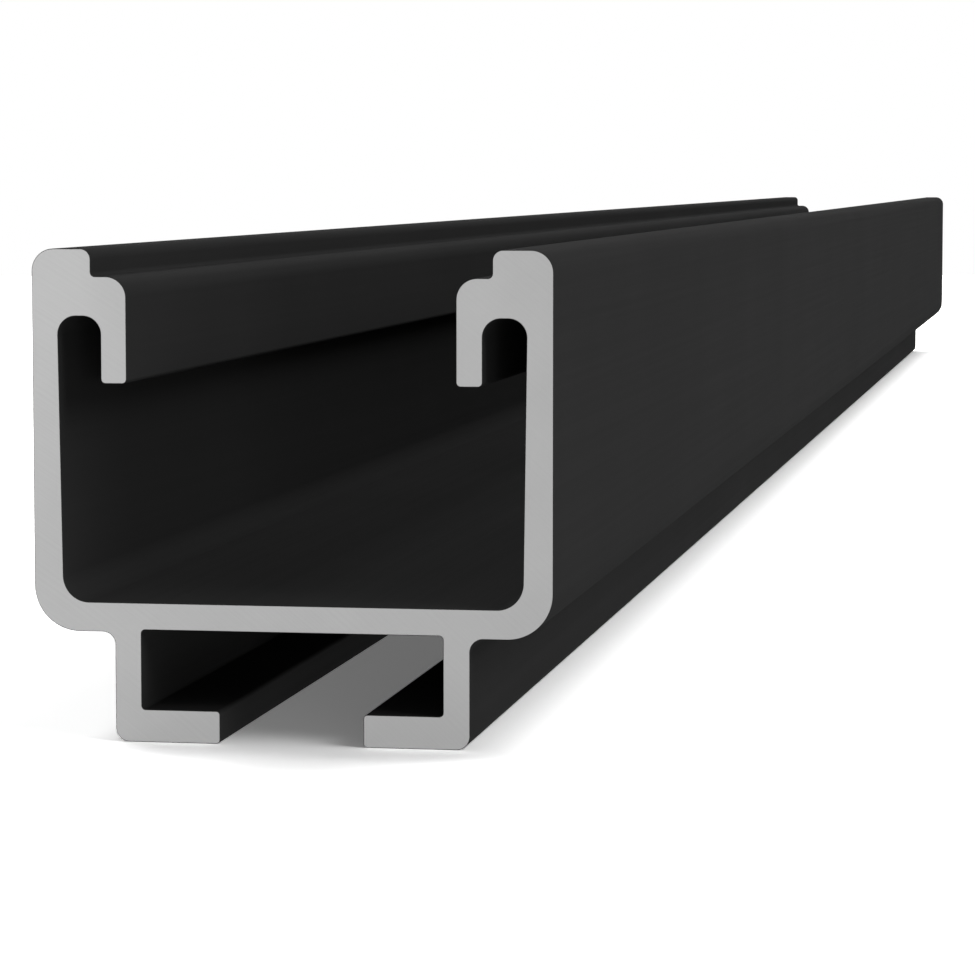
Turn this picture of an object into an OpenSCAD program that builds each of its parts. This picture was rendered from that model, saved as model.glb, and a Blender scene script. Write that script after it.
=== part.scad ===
// Mounting rail for solar panels: one aluminium extrusion, sawn square at both ends.
// Its upper channel opens upwards between two hooks and takes the panel clamps. Its lower
// channel opens downwards between two feet and takes the head of the bolt that holds it down.
// The rail stands on its feet at Z = 0 and runs along Y. X = 0 is its middle plane, and
// Y = 0 is halfway along.

/* [Rail] */
// Length between the two sawn ends
rail_length = 635; // [60:1:6000]
// Width across the outside of the side walls
rail_width = 40; // [36:0.5:60]
// Height from the underside of the feet to the top of the ribs
rail_height = 37.5; // [32:0.5:60]

/* [Side walls] */
// Thickness of a side wall at its top, beside the groove
wall_top_t = 2; // [1.4:0.1:3.5]
// Thickness of a side wall at its base, on the floor
wall_base_t = 2.3; // [1.4:0.1:3.5]
// Radius inside, where a side wall meets the floor
floor_corner_r = 2; // [0.2:0.1:4]
// Radius outside, where a side wall turns in under the floor
lower_edge_r = 3.5; // [0.5:0.1:4]

/* [Ribs and hooks] */
// Width of the rebate between a rib and the mouth
rebate_w = 2.75; // [1:0.05:4]
// Depth of the rebate below the top of the ribs
rebate_depth = 2.1; // [0.5:0.1:4]
// Thickness of the shoulder, from the rebate down to the roof of the groove
shoulder_t = 3; // [1.5:0.1:5]
// Width of the groove between a side wall and the hook's lip
groove_w = 3.35; // [2:0.05:5]
// Depth of the groove, from its roof down to the tip of the lip
groove_depth = 5.1; // [2:0.1:10]
// Thickness of the hook's lip
lip_t = 2; // [1.2:0.1:4]
// Radius on the outer edge of a rib
rib_outer_r = 1.7; // [0.2:0.1:2.5]
// Radius on the inner edge of a rib
rib_inner_r = 0.8; // [0.1:0.1:1.5]
// Radius in the inner corner of the rebate
rebate_root_r = 0.35; // [0.1:0.05:1]
// Radius where the rebate turns down into the mouth
mouth_edge_r = 1.6; // [0.2:0.1:2]
// Radius on both edges of the lip's tip
lip_tip_r = 0.35; // [0.1:0.05:0.6]
// Radius in both corners of the groove's roof
groove_roof_r = 1.4; // [0.2:0.05:1.65]

/* [Floor] */
// Thickness of the floor above the lower channel
floor_t = 2.05; // [1.2:0.05:4]
// Thickness of the floor's ledges, to either side of the lower channel
ledge_t = 2.25; // [1.2:0.05:4]

/* [Lower channel] */
// Width inside the lower channel
channel_w = 23.3; // [16:0.1:26]
// Height inside the lower channel, from the feet to its roof
channel_h = 6.1; // [4.5:0.05:12]
// Thickness of the lower channel's side walls
channel_wall_t = 2.05; // [1.2:0.05:3]
// Width of the slot between the two feet
slot_w = 11.1; // [8:0.1:14]
// Thickness of the feet
foot_t = 2.5; // [1.2:0.1:4]
// Radius in the inner corners of the lower channel
channel_corner_r = 0.3; // [0.1:0.05:1]
// Radius on both edges of a foot, at the slot
foot_tip_r = 0.3; // [0.1:0.05:0.6]
// Radius on the outer edge of a foot
foot_outer_r = 1.05; // [0.2:0.05:2]
// Radius in the corner between the lower channel and a ledge
ledge_root_r = 1; // [0.2:0.1:2]

/* [Hidden] */
$fn = 64;

// Half widths, from the middle plane out
slot_x = slot_w / 2;
channel_x = channel_w / 2;
channel_outer_x = channel_x + channel_wall_t;
wall_outer_x = rail_width / 2;
wall_base_x = wall_outer_x - wall_base_t;
wall_top_x = wall_outer_x - wall_top_t;
lip_x = wall_top_x - groove_w;
mouth_x = lip_x - lip_t;
rib_x = mouth_x + rebate_w;

// Heights, from the ground up
channel_roof_z = foot_t + channel_h;
floor_z = channel_roof_z + floor_t;
ledge_z = floor_z - ledge_t;
rebate_z = rail_height - rebate_depth;
groove_roof_z = rebate_z - shoulder_t;
lip_tip_z = groove_roof_z - groove_depth;

// Corners of the section's right half as [x, z, radius], anticlockwise: out from the roof of
// the lower channel, round the foot, up the side wall, over the hook and down to the floor
right_half = [
    [channel_x, channel_roof_z, channel_corner_r],
    [channel_x, foot_t, channel_corner_r],
    [slot_x, foot_t, foot_tip_r],
    [slot_x, 0, foot_tip_r],
    [channel_outer_x, 0, foot_outer_r],
    [channel_outer_x, ledge_z, ledge_root_r],
    [wall_outer_x, ledge_z, lower_edge_r],
    [wall_outer_x, rail_height, rib_outer_r],
    [rib_x, rail_height, rib_inner_r],
    [rib_x, rebate_z, rebate_root_r],
    [mouth_x, rebate_z, mouth_edge_r],
    [mouth_x, lip_tip_z, lip_tip_r],
    [lip_x, lip_tip_z, lip_tip_r],
    [lip_x, groove_roof_z, groove_roof_r],
    [wall_top_x, groove_roof_z, groove_roof_r],
    [wall_base_x, floor_z, floor_corner_r],
];

function mirrored(half) = [for (i = [len(half) - 1:-1:0]) [-half[i][0], half[i][1], half[i][2]]];

// The whole section is one closed outline, whose second half is the first one mirrored
outline = concat(right_half, mirrored(right_half));
corners = len(outline);

// Greatest share of a straight that the rounds at its two ends may take up
straight_share = 0.98;

// How far a corner's area runs out from the round's centre, where 1 would end on the straights
overshoot = 1.1;

function corner(i) = outline[(i + corners) % corners];
function point(i) = [corner(i)[0], corner(i)[1]];
function straight(i) = point(i + 1) - point(i);
function heading(i) = straight(i) / norm(straight(i));
function to_the_left(v) = [-v[1], v[0]];

// Angle the outline turns through at a corner: positive at one that stands out of the metal
function turn(i) = atan2(cross(heading(i - 1), heading(i)), heading(i - 1) * heading(i));

// Length of straight that a corner's full radius takes up on each side of it
function full_reach(i) = corner(i)[2] * tan(abs(turn(i)) / 2);

// Room on the straight after a corner, as a share of what its two full radii take up
function room(i) = straight_share * norm(straight(i)) / (full_reach(i) + full_reach(i + 1));

// Length of straight that the round takes up, where a thin wall limits its radius
function reach(i) = full_reach(i) * min(1, room(i - 1), room(i));

// The area between a sharp corner and its round, carried on past the two straights. It is
// drawn about the round's centre, and where it fills a corner it runs anticlockwise, as the
// outline does
module corner_area(i) {
    before = -heading(i - 1) * reach(i);
    after = heading(i) * reach(i);
    radius = reach(i) / tan(abs(turn(i)) / 2);
    centre = before + to_the_left(heading(i - 1)) * radius * sign(turn(i));
    translate(point(i))
    translate(centre)
    difference() {
        polygon([for (p = [[0, 0], before, centre, after]) (p - centre) * overshoot]);
        circle(radius);
    }
}

// The outline with every corner rounded: cut away where it stands out, filled where it goes in
module section() {
    difference() {
        union() {
            polygon([for (i = [0:corners - 1]) point(i)]);
            for (i = [0:corners - 1])
                if (turn(i) < 0) corner_area(i);
        }
        for (i = [0:corners - 1])
            if (turn(i) > 0) corner_area(i);
    }
}

module rail() {
    color([0.16, 0.16, 0.17])
    rotate([90, 0, 0])
    linear_extrude(height = rail_length, center = true)
    section();
}

rail();
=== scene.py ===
"""Looks of the solar mounting rail: a black anodised extrusion with bare sawn ends."""

import math

import bpy
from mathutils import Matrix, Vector


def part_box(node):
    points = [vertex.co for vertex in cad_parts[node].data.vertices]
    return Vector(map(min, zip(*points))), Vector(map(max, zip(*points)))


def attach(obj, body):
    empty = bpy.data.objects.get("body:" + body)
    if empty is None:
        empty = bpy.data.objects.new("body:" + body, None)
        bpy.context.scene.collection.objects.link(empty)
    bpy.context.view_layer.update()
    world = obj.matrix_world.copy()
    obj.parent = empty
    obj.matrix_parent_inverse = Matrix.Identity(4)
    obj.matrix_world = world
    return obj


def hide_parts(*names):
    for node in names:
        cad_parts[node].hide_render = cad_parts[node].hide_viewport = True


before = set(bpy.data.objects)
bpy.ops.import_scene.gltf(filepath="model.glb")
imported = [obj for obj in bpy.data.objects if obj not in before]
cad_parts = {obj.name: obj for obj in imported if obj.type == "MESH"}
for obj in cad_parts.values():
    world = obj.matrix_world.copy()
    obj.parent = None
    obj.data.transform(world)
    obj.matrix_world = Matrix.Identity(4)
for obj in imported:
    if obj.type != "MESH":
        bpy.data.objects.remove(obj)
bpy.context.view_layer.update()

MM = 0.001

# Overall sizes, read from the frame's own box
rail_low, rail_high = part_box("rail")
rail_length = rail_high[1] - rail_low[1]
rail_width = rail_high[0] - rail_low[0]
rail_height = rail_high[2] - rail_low[2]

# Side walls
wall_top_t = 2 * MM
wall_base_t = 2.3 * MM
floor_corner_r = 2 * MM
lower_edge_r = 3.5 * MM

# Ribs and hooks
rebate_w = 2.75 * MM
rebate_depth = 2.1 * MM
shoulder_t = 3 * MM
groove_w = 3.35 * MM
groove_depth = 5.1 * MM
lip_t = 2 * MM
rib_outer_r = 1.7 * MM
rib_inner_r = 0.8 * MM
rebate_root_r = 0.35 * MM
mouth_edge_r = 1.6 * MM
lip_tip_r = 0.35 * MM
groove_roof_r = 1.4 * MM

# Floor and lower channel
floor_t = 2.05 * MM
ledge_t = 2.25 * MM
channel_w = 23.3 * MM
channel_h = 6.1 * MM
channel_wall_t = 2.05 * MM
slot_w = 11.1 * MM
foot_t = 2.5 * MM
channel_corner_r = 0.3 * MM
foot_tip_r = 0.3 * MM
foot_outer_r = 1.05 * MM
ledge_root_r = 1 * MM

# Finish of the mesh
edge_break = 0.05 * MM      # the sharp edge taken off both sawn ends
chord_error = 0.002 * MM    # how far a facet may stray from its round
ring_spacing = 40 * MM      # between the rings of vertices along the rail

# Black coat
die_line_w = 0.5 * MM       # lines that the die drew along the rail
die_line_stretch = 250      # how many times as long as wide they are
die_line_depth = 0.003 * MM
etch_size = 0.12 * MM       # grain of the etched metal under the coat
etch_depth = 0.0015 * MM
coat_cloud_size = 30 * MM   # the slow changes of tone

# Bare sawn ends
blade_x = -130 * MM         # the centre of the arcs that the saw's teeth left
blade_z = -150 * MM
saw_mark_w = 0.22 * MM
saw_mark_depth = 0.002 * MM
torn_size = 0.1 * MM        # grain of the metal that the teeth tore
torn_depth = 0.002 * MM
sawn_cloud_size = 9 * MM    # the slow changes of tone

# Where nearly all values of a noise lie
noise_low = 0.3
noise_high = 0.7


def section_corners():
    """Corners of the right half as (x, z, radius), anticlockwise, then the same mirrored."""
    slot_x = slot_w / 2
    channel_x = channel_w / 2
    channel_outer_x = channel_x + channel_wall_t
    wall_outer_x = rail_width / 2
    wall_base_x = wall_outer_x - wall_base_t
    wall_top_x = wall_outer_x - wall_top_t
    lip_x = wall_top_x - groove_w
    mouth_x = lip_x - lip_t
    rib_x = mouth_x + rebate_w
    channel_roof_z = foot_t + channel_h
    floor_z = channel_roof_z + floor_t
    ledge_z = floor_z - ledge_t
    rebate_z = rail_height - rebate_depth
    groove_roof_z = rebate_z - shoulder_t
    lip_tip_z = groove_roof_z - groove_depth
    half = [
        (channel_x, channel_roof_z, channel_corner_r),
        (channel_x, foot_t, channel_corner_r),
        (slot_x, foot_t, foot_tip_r),
        (slot_x, 0, foot_tip_r),
        (channel_outer_x, 0, foot_outer_r),
        (channel_outer_x, ledge_z, ledge_root_r),
        (wall_outer_x, ledge_z, lower_edge_r),
        (wall_outer_x, rail_height, rib_outer_r),
        (rib_x, rail_height, rib_inner_r),
        (rib_x, rebate_z, rebate_root_r),
        (mouth_x, rebate_z, mouth_edge_r),
        (mouth_x, lip_tip_z, lip_tip_r),
        (lip_x, lip_tip_z, lip_tip_r),
        (lip_x, groove_roof_z, groove_roof_r),
        (wall_top_x, groove_roof_z, groove_roof_r),
        (wall_base_x, floor_z, floor_corner_r),
    ]
    return half + [(-x, z, radius) for x, z, radius in reversed(half)]


def rounded(corners):
    """The outline with its corners rounded, as (x, z, outward x, outward z) for each point."""
    outline = []
    for i, (x, z, radius) in enumerate(corners):
        x0, z0, _ = corners[i - 1]
        x1, z1, _ = corners[(i + 1) % len(corners)]
        before = math.atan2(z - z0, x - x0)
        after = math.atan2(z1 - z, x1 - x)
        turn = math.remainder(after - before, math.tau)
        side = math.copysign(1, turn)
        reach = radius * math.tan(abs(turn) / 2)
        centre_x = x - reach * math.cos(before) - side * radius * math.sin(before)
        centre_z = z - reach * math.sin(before) + side * radius * math.cos(before)
        facet_turn = 2 * math.acos(1 - chord_error / radius)
        steps = math.ceil(abs(turn) / facet_turn)
        for k in range(steps + 1):
            heading = before + turn * k / steps
            out_x, out_z = math.sin(heading), -math.cos(heading)
            outline.append((centre_x + side * radius * out_x,
                            centre_z + side * radius * out_z, out_x, out_z))
    return outline


def make_rail(coat, sawn):
    """One closed mesh along Y: rings of the section, closed by a face at each sawn end."""
    outline = rounded(section_corners())
    count = len(outline)
    spans = math.ceil(rail_length / ring_spacing)
    full_end = rail_length / 2 - edge_break
    rings = [(-rail_length / 2, edge_break)]
    rings += [(full_end * (2 * k / spans - 1), 0) for k in range(spans + 1)]
    rings.append((rail_length / 2, edge_break))

    points = [(x - inset * out_x, y, z - inset * out_z)
              for y, inset in rings for x, z, out_x, out_z in outline]
    faces, normals = [], []
    last = len(rings) - 1
    for ring in range(last):
        for i in range(count):
            j = (i + 1) % count
            corners = [(ring, i), (ring + 1, i), (ring + 1, j), (ring, j)]
            faces.append([r * count + c for r, c in corners])
            for r, c in corners:
                # -1 on the near end's ring and 1 on the far end's, which share the sawn
                # faces' normals, so that the edge breaks shade as rounds
                end = (r == last) - (r == 0)
                _, _, out_x, out_z = outline[c]
                normals.append((0, end, 0) if end else (out_x, 0, out_z))
    faces.append(list(range(count)))
    faces.append([last * count + i for i in reversed(range(count))])
    normals += [(0, -1, 0)] * count + [(0, 1, 0)] * count

    mesh = bpy.data.meshes.new("mounting_rail")
    mesh.from_pydata(points, [], faces)
    mesh.materials.append(coat)
    mesh.materials.append(sawn)
    for face in mesh.polygons:
        face.use_smooth = True
    near_face, far_face = mesh.polygons[-2:]
    near_face.material_index = 1
    far_face.material_index = 1
    mesh.normals_split_custom_set(normals)
    rail = bpy.data.objects.new("mounting_rail", mesh)
    bpy.context.collection.objects.link(rail)
    return rail


def grey(level):
    """An opaque neutral colour."""
    return (level, level, level, 1)


class Nodes:
    """The node tree of a new material or world, wired by the names of the sockets."""

    def __init__(self, owner):
        owner.use_nodes = True
        self.tree = owner.node_tree

    def fill(self, node, sockets):
        """Sets each named input, or links it where the value is another node's output."""
        for name, value in sockets.items():
            socket = next(s for s in node.inputs if s.enabled and s.name == name)
            if isinstance(value, bpy.types.NodeSocket):
                self.tree.links.new(value, socket)
            else:
                socket.default_value = value

    def add(self, kind, output, sockets, **settings):
        """Adds one node and returns its named output."""
        node = self.tree.nodes.new("ShaderNode" + kind)
        for name, value in settings.items():
            setattr(node, name, value)
        self.fill(node, sockets)
        return next(s for s in node.outputs if s.enabled and s.name == output)

    def noise(self, place, size, detail):
        """Noise from 0 to 1 whose grains are about size metres across."""
        return self.add("TexNoise", "Fac", {"Vector": place, "Scale": 1 / size, "Detail": detail})

    def spread(self, value, low, high):
        """Noise drawn out to run from low to high."""
        return self.add("MapRange", "Result", {
            "Value": value, "From Min": noise_low, "From Max": noise_high,
            "To Min": low, "To Max": high})

    def blend(self, factor, dark, light):
        """A colour between two others."""
        return self.add("Mix", "Result", {"Factor": factor, "A": dark, "B": light},
                        data_type="RGBA")

    def mix(self, factor, low, high):
        """A number between two others."""
        return self.add("Mix", "Result", {"Factor": factor, "A": low, "B": high})

    def larger(self, one, other):
        """The larger of two outputs."""
        node = self.tree.nodes.new("ShaderNodeMath")
        node.operation = "MAXIMUM"
        self.tree.links.new(one, node.inputs[0])
        self.tree.links.new(other, node.inputs[1])
        return node.outputs[0]

    def bump(self, height, depth, normal=None):
        """A normal from a height of 0 to 1 that stands for depth metres."""
        sockets = {"Height": height, "Distance": depth}
        if normal:
            sockets["Normal"] = normal
        return self.add("Bump", "Normal", sockets)


def make_coat():
    """Satin black anodised coat, with faint lines that the die drew along the rail."""
    material = bpy.data.materials.new("black_anodised")
    nodes = Nodes(material)
    place = nodes.add("TexCoord", "Object", {})
    drawn_out = nodes.add("Mapping", "Vector", {
        "Vector": place, "Scale": (1, 1 / die_line_stretch, 1)})
    lines = nodes.noise(drawn_out, die_line_w, detail=3)
    grain = nodes.noise(place, etch_size, detail=2)
    cloud = nodes.noise(place, coat_cloud_size, detail=3)
    etched = nodes.bump(grain, etch_depth)
    nodes.fill(nodes.tree.nodes["Principled BSDF"], {
        "Base Color": nodes.blend(nodes.spread(cloud, 0, 1), grey(0.0237), grey(0.0257)),
        "Roughness": nodes.spread(lines, 0.85, 0.95),
        "Normal": nodes.bump(lines, die_line_depth, etched),
        "Specular IOR Level": 0.005,
    })
    return material


def make_sawn():
    """Bare aluminium with the shallow arcs that the saw's teeth left."""
    material = bpy.data.materials.new("bare_sawn_aluminium")
    nodes = Nodes(material)
    place = nodes.add("TexCoord", "Object", {})
    from_blade = nodes.add("Mapping", "Vector", {
        "Vector": place, "Location": (-blade_x, 0, -blade_z), "Scale": (1, 0, 1)})
    radius = nodes.add("VectorMath", "Value", {"Vector": from_blade}, operation="LENGTH")
    marks = nodes.add("TexNoise", "Fac", {"W": radius, "Scale": 1 / saw_mark_w, "Detail": 3},
                      noise_dimensions="1D")
    grain = nodes.noise(place, torn_size, detail=2)
    cloud = nodes.noise(place, sawn_cloud_size, detail=2)
    torn = nodes.bump(grain, torn_depth)
    nodes.fill(nodes.tree.nodes["Principled BSDF"], {
        "Base Color": nodes.blend(nodes.spread(cloud, 0, 1), grey(0.361), grey(0.381)),
        "Metallic": 1,
        "Roughness": nodes.spread(marks, 0.52, 0.58),
        "Normal": nodes.bump(marks, saw_mark_depth, torn),
    })
    return material


def seen_rays(nodes):
    """1 for rays from the camera and from gloss or glass, and 0 for the light itself."""
    rays = nodes.tree.nodes.new("ShaderNodeLightPath").outputs
    camera_or_gloss = nodes.larger(rays["Is Camera Ray"], rays["Is Glossy Ray"])
    return nodes.larger(camera_or_gloss, rays["Is Transmission Ray"])


def make_world(lit, shown):
    """Even light all round, of strength lit, and a plain background of strength shown, where 1
    is white."""
    world = bpy.data.worlds.new("studio")
    bpy.context.scene.world = world
    nodes = Nodes(world)
    strength = nodes.mix(seen_rays(nodes), lit, shown)
    nodes.fill(nodes.tree.nodes["Background"], {"Color": grey(1), "Strength": strength})


def make_floor(radius, lit, mirrored, shown, glow_lit, glow_shown):
    """A plain round floor that keeps the shadow. It has three levels of grey: lit for the light
    that it throws on the rail, mirrored for gloss and glass, and shown for the camera. Its
    little even glow has two strengths: glow_shown for the camera, glow_lit for all other rays."""
    material = bpy.data.materials.new("floor")
    nodes = Nodes(material)
    camera = nodes.tree.nodes.new("ShaderNodeLightPath").outputs["Is Camera Ray"]
    other_rays = nodes.blend(seen_rays(nodes), grey(lit), grey(mirrored))
    paint = nodes.add("BsdfDiffuse", "BSDF", {
        "Color": nodes.blend(camera, other_rays, grey(shown))})
    glow = nodes.add("Emission", "Emission", {
        "Strength": nodes.mix(camera, glow_lit, glow_shown)})
    both = nodes.tree.nodes.new("ShaderNodeAddShader")
    nodes.tree.links.new(paint, both.inputs[0])
    nodes.tree.links.new(glow, both.inputs[1])
    nodes.fill(nodes.tree.nodes["Material Output"], {"Surface": both.outputs[0]})

    mesh = bpy.data.meshes.new("floor")
    corners = 96
    angles = [math.tau * k / corners for k in range(corners)]
    mesh.from_pydata([(radius * math.cos(a), radius * math.sin(a), 0) for a in angles],
                     [], [tuple(range(corners))])
    mesh.materials.append(material)
    floor = bpy.data.objects.new("floor", mesh)
    bpy.context.collection.objects.link(floor)
    return floor


def make_lamp(name, place, target, width, height, power):
    """A soft box that faces its target."""
    light = bpy.data.lights.new(name, "AREA")
    light.shape = "RECTANGLE"
    light.size = width
    light.size_y = height
    light.energy = power
    lamp = bpy.data.objects.new(name, light)
    lamp.location = place
    lamp.rotation_euler = (Vector(target) - Vector(place)).to_track_quat("-Z", "Y").to_euler()
    bpy.context.collection.objects.link(lamp)
    return lamp


def make_camera(place, dip, turn, focal_length, sensor_width):
    """The photograph's view: close to the near end, low, and turned towards the rail. It looks
    along +Y, dip degrees below level and turned by turn degrees towards -X."""
    camera = bpy.data.objects.new("camera", bpy.data.cameras.new("camera"))
    camera.data.sensor_width = sensor_width
    camera.data.lens = focal_length
    camera.data.clip_start = 10 * MM
    camera.location = place
    camera.rotation_euler = (math.radians(90 - dip), 0, math.radians(turn))
    bpy.context.collection.objects.link(camera)
    bpy.context.scene.camera = camera


rail = make_rail(make_coat(), make_sawn())
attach(rail, "root")
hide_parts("rail")

make_floor(radius=1, lit=0.15, mirrored=0.43, shown=1.8, glow_lit=0.5, glow_shown=0.125)
make_world(lit=0.03, shown=1)

# Three boxes light the rail and throw its shadow. The key shows only in the gloss of the bare
# metal. The fill brightens what is matt and doesn't show in gloss.
middle = (0, 0, 0)
near_part = (0, -0.3, 0)
make_lamp("top_box", (0.52, 0.35, 1.25), middle, width=0.7, height=0.7, power=9)
make_lamp("left_box", (-1.1, 0.7, 1.6), middle, width=1.0, height=1.0, power=30)
make_lamp("right_box", (1.2, -0.6, 0.75), middle, width=0.85, height=0.85, power=8.8)
key = make_lamp("key", (-0.67, -0.88, 0.25), near_part, width=0.2, height=0.2, power=5)
key.visible_diffuse = False
fill = make_lamp("fill", (0.45, -2.0, 0.065), near_part, width=1.2, height=0.1, power=17)
fill.visible_glossy = False

make_camera(place=(0.060641, -0.586678, 0.043103), dip=4.8713, turn=9.6169,
            focal_length=135.753, sensor_width=36)
bpy.context.scene.view_settings.view_transform = "Standard"
